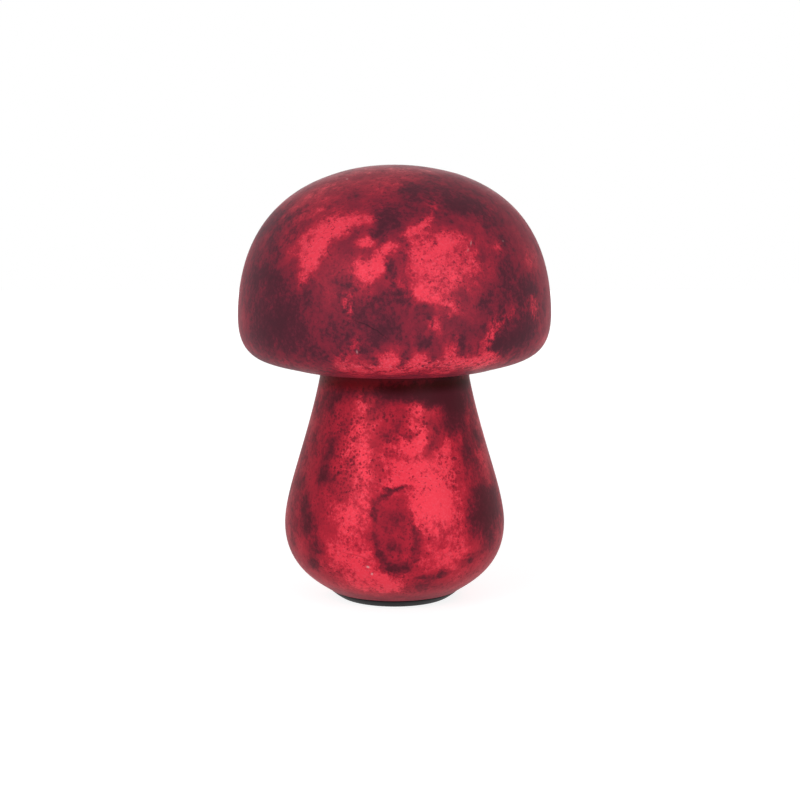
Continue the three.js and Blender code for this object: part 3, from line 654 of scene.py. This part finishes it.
def plastic(name, colour, wear, roughness, grainSize=0.35, shine=0.4):
    f = Finish(name, {"IOR": 1.48, "Specular IOR Level": shine})
    spot = f.spot()
    pores = f.grain(spot, grainSize, 3, 0.6)
    cloud = f.grain(spot, 7, 3)
    scuffs = f.rise(f.grain(spot * (1, 1, 3), 2.2, 5, 0.7), 0.60, 0.72)
    tone = f.mix(0.5 * cloud, colour, tuple(1.7 * c for c in colour))
    return f.surface({
        "Base Color": f.mix(0.35 * scuffs, tone, wear),
        "Roughness": roughness + 0.16 * (cloud - 0.5) + 0.12 * scuffs,
        "Normal": f.bump(pores, 0.02, 0.5),
    })


def metal(name, colour, roughness, brushed, tarnish=0.35):
    f = Finish(name)
    spot = f.spot()
    lines = f.grain(spot * brushed, 0.5, 3, 0.6)
    stain = f.rise(f.grain(spot, 3, 4, 0.6), 0.45, 0.7)
    return f.surface({
        "Base Color": f.mix(tarnish * stain, colour, tuple(0.55 * c for c in colour)),
        "Metallic": 1 - 0.1 * stain,
        "Roughness": roughness + 0.22 * (lines - 0.5) + 0.12 * stain,
        "Normal": f.bump(lines, 0.012, 0.5),
    })


def silicone():
    f = Finish("clear_silicone", {"IOR": 1.41, "Subsurface Weight": 0.25, "Subsurface Scale": 0.002})
    spot = f.spot()
    smear = f.grain(spot * (1, 1, 2.5), 3, 4, 0.6)
    bubbles = f.node("TexVoronoi", {}, {"Vector": spot, "Scale": 900.0})
    return f.surface({
        "Base Color": f.mix(smear, (0.62, 0.60, 0.55), (0.80, 0.78, 0.74)),
        "Roughness": 0.3 + 0.2 * smear,
        "Normal": f.bump(smear + 0.3 * bubbles, 0.15, 0.6),
    })


finishes = {
    "black": plastic("black_plastic", (0.007, 0.005, 0.006), (0.03, 0.028, 0.03), 0.5, shine=0.08),
    "words": plastic("raised_words", (0.075, 0.072, 0.074), (0.11, 0.105, 0.11), 0.6, shine=0.2),
    "knob": plastic("pale_knob", (0.74, 0.73, 0.69), (0.45, 0.43, 0.40), 0.48),
    "nickel": metal("nickel_contact", (0.68, 0.65, 0.58), 0.28, (1, 1, 0.2), 0.12),
    "zinc": metal("screw_steel", (0.50, 0.50, 0.51), 0.32, (1, 1, 0.5)),
    "tinned": metal("crystal_can", (0.62, 0.62, 0.61), 0.28, (0.3, 1, 1)),
    "shell": metal("switch_shell", (0.52, 0.52, 0.53), 0.34, (0.25, 1, 1)),
    "silicone": silicone(),
    "redWire": plastic("red_wire", (0.50, 0.016, 0.024), (0.60, 0.12, 0.12), 0.42, 0.8),
    "blackWire": plastic("black_wire", (0.014, 0.014, 0.015), (0.08, 0.08, 0.08), 0.42, 0.8),
    "whiteWire": plastic("white_wire", (0.74, 0.73, 0.71), (0.50, 0.48, 0.45), 0.42, 0.8),
}


# Light unit housing: the black foot, its plug, and the tower with its two wells

housing = {
    "footHeight": 3.2, "footRadius": 26.4, "footBulge": 0.55, "restRadius": 22, "restWidth": 3,
    "underside": 1.2, "floorTop": 3.6, "plugRadius": 23.2, "plugHeight": 12, "plugWall": 1.6,
    "wellX": 7.7, "wellRadius": 7.6, "wellTop": 59.4, "window": 7,
    "pocketRadius": 9.25, "pocketTop": 3.2, "collarTop": 4.8,
    "towerRadius": 9.2, "towerWall": 1.6, "towerTop": 61.4, "boardZ": 63.0, "boardThickness": 1.2,
    "rib": 1.4, "ribTop": 11, "bossRadius": 2.3, "screwY": 6.65, "screwHole": 1.15, "screwDepth": 6.6,
    "restLength": 8, "tab": (3.6, 1.0), "bite": 0.1,
    "switchY": -15.5, "switchWidth": 5.2, "switchLength": 12.4, "switchTop": 8.0, "slot": (7.2, 2.6),
    "edge": 0.14,
}


def housingMesh():
    h = housing
    rest, foot, high, bulge = h["restRadius"], h["footRadius"], h["footHeight"], h["footBulge"]
    edge = curve((rest, 0), (rest + bulge, 0), (foot, high - bulge), (foot, high), 14)
    plug, rim, inside = h["plugRadius"], h["plugHeight"], h["plugRadius"] - h["plugWall"]
    ring, under, floor = rest - h["restWidth"], h["underside"], h["floorTop"]
    outline = [(0, under), (ring - 0.2, under), (ring, under - 0.2), (ring, 0.15), (ring + 0.15, 0),
               *edge, (plug, high), (plug, rim - 0.5), (plug - 0.5, rim), (inside, rim),
               (inside, floor), (0, floor)]
    low = floor - h["bite"]
    solids = [
        turned(outline, 176),
        slab(stadium(h["wellX"], h["pocketRadius"] + h["towerWall"]), under + 0.01, h["collarTop"]),
        slab(stadium(h["wellX"], h["towerRadius"]), low, h["towerTop"]),
    ]
    cuts = [
        slab(stadium(h["wellX"], h["pocketRadius"]), -1, h["pocketTop"]),
        brick(0, 0, h["wellRadius"], h["window"], 0, h["wellTop"]),
        brick(0, h["switchY"], *h["slot"], -1, floor + h["bite"]),
    ]
    endX = h["wellX"] + h["towerRadius"] - h["bite"]
    endReach = inside + h["bite"] - endX
    backY = h["towerRadius"] - h["bite"]
    backReach = math.sqrt(inside ** 2 - h["wellX"] ** 2) + h["bite"] - backY
    postX = h["switchLength"] / 2 + 0.3 + h["rib"] / 2
    roof, board, pocket = h["towerTop"] - h["bite"], h["boardZ"], h["pocketTop"]
    for side in (-1, 1):
        x, bore = side * h["wellX"], (0, side * h["screwY"])
        solids += [
            brick(side * (endX + endReach / 2), 0, endReach, h["rib"], low, h["ribTop"]),
            brick(x, backY + backReach / 2, h["rib"], backReach, low, h["ribTop"]),
            brick(side * postX, h["switchY"], h["rib"], h["switchWidth"], low, h["switchTop"] - 1),
            brick(side * (endX - h["rib"]), 0, h["rib"], h["restLength"], roof, board),
            rod(h["bossRadius"], roof, board, bore),
        ]
        cuts += [
            rod(h["wellRadius"], -1, h["wellTop"], (x, 0), 72),
            rod(h["screwHole"], pocket - 0.1, pocket + h["screwDepth"], bore, 24),
            rod(h["screwHole"], board - h["screwDepth"], board + 1, bore, 24),
            brick(x, 0, *h["tab"], h["wellTop"] - h["bite"], h["towerTop"] + h["bite"]),
        ]
    return moulded("housing", solids, cuts, h["edge"])


piece("light_unit_moulding", housingMesh(), finishes["black"], "light_unit_housing")
print("stage 3: the foot and tower are moulded")


# The switch's three words, raised on the underside

words = {
    "size": 1.75, "raise": 0.14,
    "places": {"ON": (-5.6, -15.3), "OFF": (0, -17.8), "TIMER": (6.7, -15.3)},
}


def wordsMesh():
    work = bmesh.new()
    for text, (x, y) in words["places"].items():
        font = bpy.data.curves.new(text, "FONT")
        font.body = text
        font.size = words["size"] * mm
        font.extrude = words["raise"] * mm
        font.align_x = "CENTER"
        font.align_y = "CENTER"
        font.resolution_u = 3
        work.from_mesh(moved(applied(placed(text, font)), x, y, housing["underside"], flip=True))
    bmesh.ops.remove_doubles(work, verts=work.verts, dist=0.001 * mm)
    return meshFrom(work, "words")


piece("switch_words", wordsMesh(), finishes["words"])


# Battery door, its screws, and the switch knob

door = {
    "radius": 9.0, "top": 3.2, "edge": 0.16,
    "sink": (2.05, 2.45),  # radius and depth of the screw heads' seats
    "grip": (0.7, 7), "gripDepth": 0.4, "gripPitch": 1.6,
}


def doorMesh():
    h = housing
    plate = slab(stadium(h["wellX"], door["radius"], 36), h["underside"], door["top"])
    cuts = []
    for side in (-1, 1):
        bore = (0, side * h["screwY"])
        cuts += [rod(door["sink"][0], 0, door["sink"][1], bore),
                 rod(h["screwHole"], 0, door["top"] + 1, bore, 24)]
        for step in (-1, 0, 1):
            x = side * (h["wellX"] + step * door["gripPitch"])
            cuts.append(brick(x, 0, *door["grip"], 0, h["underside"] + door["gripDepth"]))
    return moulded("door", [plate], cuts, door["edge"])


piece("battery_door_moulding", doorMesh(), finishes["black"], "battery_door", "door")

screw = {
    "head": 1.9, "headHeight": 1.1, "shank": 1.0, "length": 6, "cross": 0.6, "pitch": 0.8, "thread": 0.12,
    "chamfer": 0.06, "edge": 0.05,
}


def screwMesh():
    s = screw
    head, high, shank, root = s["head"], s["headHeight"], s["shank"], s["shank"] - s["thread"]
    outline = [(0, -s["length"]), (0.3 * shank, -s["length"] + 0.1)]
    for i in range(int((s["length"] - 1) / s["pitch"])):
        z = -s["length"] + 0.9 + i * s["pitch"]
        outline += [(root, z), (shank, z + 0.35 * s["pitch"]), (shank, z + 0.5 * s["pitch"])]
    dome = [(head * math.cos(a), (0.45 + 0.55 * math.sin(a)) * high) for a in (0, 0.35, 0.7, 1.05, 1.35)]
    outline += [(root, 0), (head - s["chamfer"], 0), (head, s["chamfer"]), *dome, (0, high)]
    arm, low = 1.3 * head, 0.4 * high
    cross = [brick(0, 0, arm, s["cross"], low, 2), brick(0, 0, s["cross"], arm, low, 2)]
    return moulded("screw", [turned(outline, 48)], cross, s["edge"])


for end, side in (("front", -1), ("rear", 1)):
    y = side * housing["screwY"]
    lower = moved(screwMesh(), 0, y, door["sink"][1], flip=True)
    piece(f"door_screw_{end}_turned", lower, finishes["zinc"], f"door_screw_{end}", f"screw_{end}")
    upper = moved(screwMesh(), 0, y, housing["boardZ"] + housing["boardThickness"])
    piece(f"board_screw_{end}_turned", upper, finishes["zinc"], f"board_screw_{end}")

knob = {
    "length": 2.6, "width": 2, "low": 0.3, "groove": 0.3,
    "shoeLow": 4.5, "shoeTop": 7.1, "shoe": (4.6, 3.4), "edge": 0.06,
}


def knobMesh():
    k, y = knob, housing["switchY"]
    solids = [brick(0, y, k["length"], k["width"], k["low"], k["shoeLow"] + 0.1),
              brick(0, y, *k["shoe"], k["shoeLow"], k["shoeTop"])]
    grooves = [0.27 * k["length"] * step for step in (-1, 0, 1)]
    cuts = [brick(x, y, k["groove"], 2 * k["width"], 0, k["low"] + k["groove"]) for x in grooves]
    return moulded("knob", solids, cuts, k["edge"])


piece("switch_knob_moulding", knobMesh(), finishes["knob"], "switch_knob", "switch")
print("stage 4: door, screws and knob")


# The two cells

cell = {
    "radius": 7.25, "can": 49.2, "nubRadius": 2.75, "nub": 1.3, "shoulder": 0.8, "dish": 0.2,
    "x": 7.7, "uprightZ": 7.9, "invertedZ": 4.2,
    "sleeve": (0.028, 0.036, 0.050), "band": (0.46, 0.47, 0.48), "mark": (0.80, 0.80, 0.78),
    "bare": (0.60, 0.59, 0.56),
    # Along the sleeve in mm from its flat end: the band, the line, the bare steel, and the two signs
    "bandAt": (40.5, 47.0), "lineAt": (39.5, 39.9), "bareAt": (0.7, 48.4), "plusAt": 35.5, "minusAt": 6.0,
    "stroke": (1.8, 0.45),  # half the length and half the width of the signs' strokes
}


def cellOutline():
    c = cell
    r, top, s = c["radius"], c["can"], c["shoulder"]
    nub, end = c["nubRadius"], top + c["nub"]
    quarter = (0, 0.4, 0.8, 1.2, 1.57)
    low = arc(r - 0.4, 0.4, 0.4, [a - math.pi / 2 for a in quarter])
    high = arc(r - s, top - s, s, quarter)
    tip = arc(nub - 0.3, end - 0.3, 0.3, quarter[::2])
    return [(0, c["dish"]), (0.67 * r, c["dish"]), (0.7 * r, 0.02), *low, (r, 0.9), (r - 0.05, 1.0),
            (r - 0.05, top - 1.6), (r, top - 1.5), *high, (nub + 0.5, top), (nub, top + 0.06),
            *tip, (0, end)]


def cellFinish(name, foot, up):
    c = cell
    f = Finish(name, {"IOR": 1.5})
    spot = f.spot()
    x, y, z = f.parts(spot)
    along = (z - foot * mm) * up
    across = abs(x + up * c["x"] * mm)
    scratch = f.grain(spot * (1, 1, 0.15), 0.6, 4, 0.6)
    cloud = f.grain(spot, 6, 3)
    long, wide = [half * mm for half in c["stroke"]]

    def between(low, high):
        return (along > low * mm) * (along < high * mm)

    def stroke(at, acrossHalf, alongHalf):
        return (across < acrossHalf) * (abs(along - at * mm) < alongHalf)

    plus = f.reckon("MAXIMUM", stroke(c["plusAt"], wide, long), stroke(c["plusAt"], long, wide))
    signs = (plus + stroke(c["minusAt"], long, wide)) * (y < 0)
    band = between(*c["bandAt"])
    bare = 1 - between(*c["bareAt"])
    colour = f.mix(cloud * 0.4, c["sleeve"], tuple(1.5 * k for k in c["sleeve"]))
    colour = f.mix(band, colour, c["band"])
    colour = f.mix(between(*c["lineAt"]) + signs, colour, c["mark"])
    return f.surface({
        "Base Color": f.mix(bare, colour, c["bare"]),
        "Metallic": 0.9 * bare + 0.7 * band * (1 - bare),
        "Roughness": 0.30 + 0.2 * (scratch - 0.5) + 0.06 * cloud,
        "Normal": f.bump(scratch, 0.02, 0.4),
    })


turnedFoot = cell["invertedZ"] + cell["can"] + cell["nub"]
for end, foot, up in (("upright", cell["uprightZ"], 1), ("inverted", turnedFoot, -1)):
    mesh = moved(turned(cellOutline(), 80), -up * cell["x"], 0, foot, flip=up < 0)
    finish = cellFinish(f"cell_sleeve_{end}", foot, up)
    piece(f"cell_{end}_sleeved", mesh, finish, f"cell_{end}", "cells")
print("stage 5: cells")


# The ring of silicone, and the contacts with their wound springs

contact = {
    "thickness": 0.4, "radius": 5, "strip": 6.4, "dimple": (2.2, 0.3), "edge": 0.06,
    "tab": (3, 0.4), "tabTop": 65.0, "upperZ": 59.0,
    "springHeight": 4, "turns": 2.75, "wide": 4.2, "narrow": 2.8, "steps": 110, "sides": 14,
    "wire": 0.4,  # its radius
}


def coilMesh(x, z):  # one wire wound as a cone, standing on its wide end
    c = contact
    climbing = c["springHeight"] - 2 * c["wire"]
    around = [2 * math.pi * k / c["sides"] for k in range(c["sides"])]
    work = bmesh.new()
    rings = []
    for i in range(c["steps"] + 1):
        t = i / c["steps"]
        angle = 2 * math.pi * c["turns"] * t
        out = Vector((math.cos(angle), math.sin(angle), 0))
        radius = c["wide"] + (c["narrow"] - c["wide"]) * t
        middle = radius * out + Vector((x, 0, z + c["wire"] + climbing * t))
        circle = [math.cos(a) * out + Vector((0, 0, math.sin(a))) for a in around]
        rings.append([work.verts.new((middle + c["wire"] * off) * mm) for off in circle])
    joinRings(work, rings)
    work.faces.new(rings[0])
    work.faces.new(rings[-1])
    return meshFrom(work, "coil", 50)


def doorContactMesh():
    c, x, low = contact, housing["wellX"], door["top"]
    high = low + c["thickness"]
    solids = [rod(c["radius"], low, high, (-x, 0), 72), rod(c["radius"], low, high, (x, 0), 72),
              brick(0, 0, 2 * x, c["strip"], low, high),
              rod(c["dimple"][0], high - 0.1, high + c["dimple"][1], (x, 0), 48)]
    return together(moulded("strip", solids, edge=c["edge"]), coilMesh(-x, high - 0.05))


def upperSpringMesh():
    c, x, low = contact, housing["wellX"], contact["upperZ"]
    solids = [rod(c["radius"], low, low + c["thickness"], (x, 0), 72),
              brick(x, 0, *c["tab"], low + c["thickness"] - 0.1, c["tabTop"])]
    coil = moved(coilMesh(0, -0.05), x, 0, low, flip=True)
    return together(moulded("upper", solids, edge=c["edge"]), coil)


smoothNode("silicone_bead", finishes["silicone"])
finishNode("upper_contact_plate", finishes["nickel"])
piece("upper_spring_wound", upperSpringMesh(), finishes["nickel"], "upper_contact_spring")
piece("door_strip_wound", doorContactMesh(), finishes["nickel"], "door_contact_strip", "door")


# Lamps

lampShape = {
    "radius": 2.5, "collar": 0.4, "collarHeight": 1, "low": 65.4, "height": 8.6, "pitch": 11,
    "leg": 0.3, "legApart": 1.27, "legLow": 62.2,
}


def lampFinish():
    f = Finish("led_resin", {"IOR": 1.53, "Transmission Weight": 0.55})
    spot = f.spot()
    legs = 1 - f.band(f.parts(spot)[2], lampShape["low"] - 0.05, lampShape["low"] + 0.05)
    glow = f.grain(spot, 1.6, 2)
    colour = f.mix(glow, (0.90, 0.74, 0.40), (0.95, 0.84, 0.58))
    return f.surface({
        "Base Color": f.mix(legs, colour, (0.60, 0.59, 0.56)),
        "Metallic": legs,
        "Roughness": 0.12 + 0.2 * legs + 0.1 * glow,
    })


def lampMesh(x):
    s = lampShape
    r, low, top, brim = s["radius"], s["low"], s["low"] + s["height"], s["radius"] + s["collar"]
    straight, collarTop = top - r, low + s["collarHeight"]
    dome = arc(0, straight, r, [math.pi * i / 28 for i in range(14)])
    outline = [(0, low), (brim, low), (brim, collarTop), (r, collarTop), *dome, (0, top)]
    legs = [rod(s["leg"], s["legLow"], low + 0.1, (x + side * s["legApart"], 0), 12) for side in (-1, 1)]
    return moulded("lamp", [turned(outline, 48, (x, 0)), *legs])


lampResin = lampFinish()
for lamp, x in (("left", -1), ("middle", 0), ("right", 1)):
    piece(f"led_{lamp}_moulded", lampMesh(x * lampShape["pitch"]), lampResin, f"led_{lamp}")


# The board and the small parts on it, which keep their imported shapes

board = {
    "top": (0.030, 0.19, 0.075), "gap": (0.012, 0.105, 0.040), "side": (0.42, 0.36, 0.20),
    "sideAt": (63.1, 63.2, 64.08, 64.12),  # heights where the bare side starts and ends
}
chip = {"colour": (0.018, 0.018, 0.020), "dot": (5.0, 4.4, 65.7), "dotSize": 0.42, "legsTo": (64.5, 65.0)}
resistor = {
    "x": -7.15, "half": 2.12, "dark": (0.52, 0.38, 0.19), "light": (0.62, 0.48, 0.27), "stripe": 0.18,
    "stripes": {-1.25: (0.30, 0.07, 0.02), -0.45: (0.02, 0.02, 0.02), 0.25: (0.42, 0.05, 0.03),
                1.25: (0.50, 0.34, 0.08)},
}
capacitor = {
    "dark": (0.016, 0.020, 0.034), "light": (0.030, 0.036, 0.056),
    "topFrom": (69.02, 69.08), "stripeX": 8.7, "stripeTop": 68.8,
}


def boardFinish():
    f = Finish("green_board", {"IOR": 1.5})
    spot = f.spot()
    tracks = f.node("TexVoronoi", {"distance": "MANHATTAN", "feature": "DISTANCE_TO_EDGE"},
                    {"Vector": spot * (1, 1, 0), "Scale": 260.0})
    gap = f.rise(tracks, 0.05, 0.09)
    weave = f.grain(spot * (1, 1, 4), 0.8, 2)
    side = f.band(f.parts(spot)[2], *board["sideAt"])
    return f.surface({
        "Base Color": f.mix(side, f.mix(gap, board["top"], board["gap"]), board["side"]),
        "Roughness": 0.34 + 0.25 * weave,
        "Normal": f.bump(1 - gap, 0.06, 0.7),
    })


def chipFinish():
    f = Finish("chip_black", {"IOR": 1.5})
    spot = f.spot()
    cast = f.grain(spot, 0.25, 3, 0.6)
    away = f.reckon("DISTANCE", spot, Vector(chip["dot"]) * mm, kind="VectorMath", output="Value")
    colour = f.mix(cast, chip["colour"], tuple(1.8 * c for c in chip["colour"]))
    legs = 1 - f.band(f.parts(spot)[2], *chip["legsTo"])
    return f.surface({
        "Base Color": f.mix(away < chip["dotSize"] * mm, colour, (0.30, 0.30, 0.29)),
        "Metallic": 0.8 * legs,
        "Roughness": 0.55 + 0.2 * (cast - 0.5),
        "Normal": f.bump(cast, 0.02, 0.6),
    })


def resistorFinish():
    f = Finish("resistor_tan", {"IOR": 1.5})
    spot = f.spot()
    along = f.parts(spot)[0] - resistor["x"] * mm
    enamel = f.grain(spot, 0.7, 3)
    colour = f.mix(enamel, resistor["dark"], resistor["light"])
    for place, stripe in resistor["stripes"].items():
        colour = f.mix(abs(along - place * mm) < resistor["stripe"] * mm, colour, stripe)
    legs = abs(along) > resistor["half"] * mm
    return f.surface({
        "Base Color": f.mix(legs, colour, (0.62, 0.61, 0.58)),
        "Metallic": legs,
        "Roughness": 0.38 + 0.12 * enamel,
        "Normal": f.bump(enamel, 0.03, 0.5),
    })


def capacitorFinish():
    f = Finish("capacitor_sleeve", {"IOR": 1.5})
    spot = f.spot()
    x, _, z = f.parts(spot)
    film = f.grain(spot, 0.9, 3)
    top = f.band(z, *capacitor["topFrom"])
    stripe = (x > capacitor["stripeX"] * mm) * (z < capacitor["stripeTop"] * mm)
    colour = f.mix(stripe, f.mix(film, capacitor["dark"], capacitor["light"]), (0.62, 0.63, 0.65))
    return f.surface({
        "Base Color": f.mix(top, colour, (0.66, 0.66, 0.67)),
        "Metallic": 0.95 * top,
        "Roughness": 0.32 + 0.14 * film,
        "Normal": f.bump(film, 0.03, 0.5),
    })


finishNode("circuit_board", boardFinish())
finishNode("timer_chip", chipFinish())
finishNode("switch_case", finishes["shell"])
smoothNode("clock_crystal", finishes["tinned"])
smoothNode("resistor", resistorFinish())
smoothNode("capacitor", capacitorFinish())
smoothNode("wire_on", finishes["redWire"])
smoothNode("wire_common", finishes["blackWire"])
smoothNode("wire_timer", finishes["whiteWire"])
print("stage 6: contacts, lamps, board and small parts")


# Floor, light and background

stage = {
    "floor": 3.0,  # metres a side
    "floorColour": (0.45, 0.45, 0.45),  # the white that is left in the object's shadow
    "floorGlow": 0.81,
    "around": 0.40,  # light from all round, and how much more of it the white table sends up
    "upward": 0.32,
    "left": {"place": (-0.85, -1.05, 0.62), "size": 0.75, "power": 8.4},
    "right": {"place": (0.80, -0.95, 0.38), "size": 0.65, "power": 5.5},
    "rear": {"place": (0.0, 1.50, 0.24), "size": 0.80, "power": 3.4},
    "aim": (0, 0, 0.09),
}


# Rays that should meet the plain background: from the camera, a reflection or through glass
def seenStraight(f):
    rays = f.others(f.node("LightPath"), "Is Camera Ray", "Is Glossy Ray", "Is Transmission Ray")
    return f.reckon("MINIMUM", rays[0] + rays[1] + rays[2], 1.0)


def makeFloor():
    side = stage["floor"] / mm
    floor = placed("floor", brick(0, 0, side, side, -2, 0))
    f = Finish("floor", {"Base Color": stage["floorColour"], "Roughness": 1.0, "Specular IOR Level": 0.0,
                         "Emission Color": (1, 1, 1), "Emission Strength": stage["floorGlow"]})
    facing = f.parts(f.node("NewGeometry", output="Normal"))[2]
    share = seenStraight(f) * (facing > 0.5)
    clear = f.node("BsdfTransparent")
    mixed = f.node("MixShader", {}, {0: share, 1: clear, 2: Wire(f, f.shader.outputs[0])})
    f.feed(f.tree.nodes["Material Output"], {"Surface": mixed})
    floor.data.materials.append(f.material)


def makeWorld():
    scene.world = bpy.data.worlds.new("surroundings")
    f = Finish("surroundings", {"Color": (1, 1, 1)}, scene.world)
    height = f.parts(f.node("TexCoord", output="Generated"))[2]
    soft = stage["around"] + stage["upward"] * (1 - f.rise(height, -0.6, 0.3))
    f.surface({"Strength": soft + (1 - soft) * seenStraight(f)})


def softbox(name):
    box = stage[name]
    lamp = bpy.data.lights.new("softbox_" + name, "AREA")
    lamp.shape = "SQUARE"
    lamp.size = box["size"]
    lamp.energy = box["power"]
    made = placed("softbox_" + name, lamp)
    made.location = box["place"]
    made.rotation_euler = (Vector(stage["aim"]) - Vector(box["place"])).to_track_quat("-Z", "Y").to_euler()
    made.visible_camera = False


makeFloor()
makeWorld()
for name in ("left", "right", "rear"):
    softbox(name)
print("stage 7: floor, light and background")
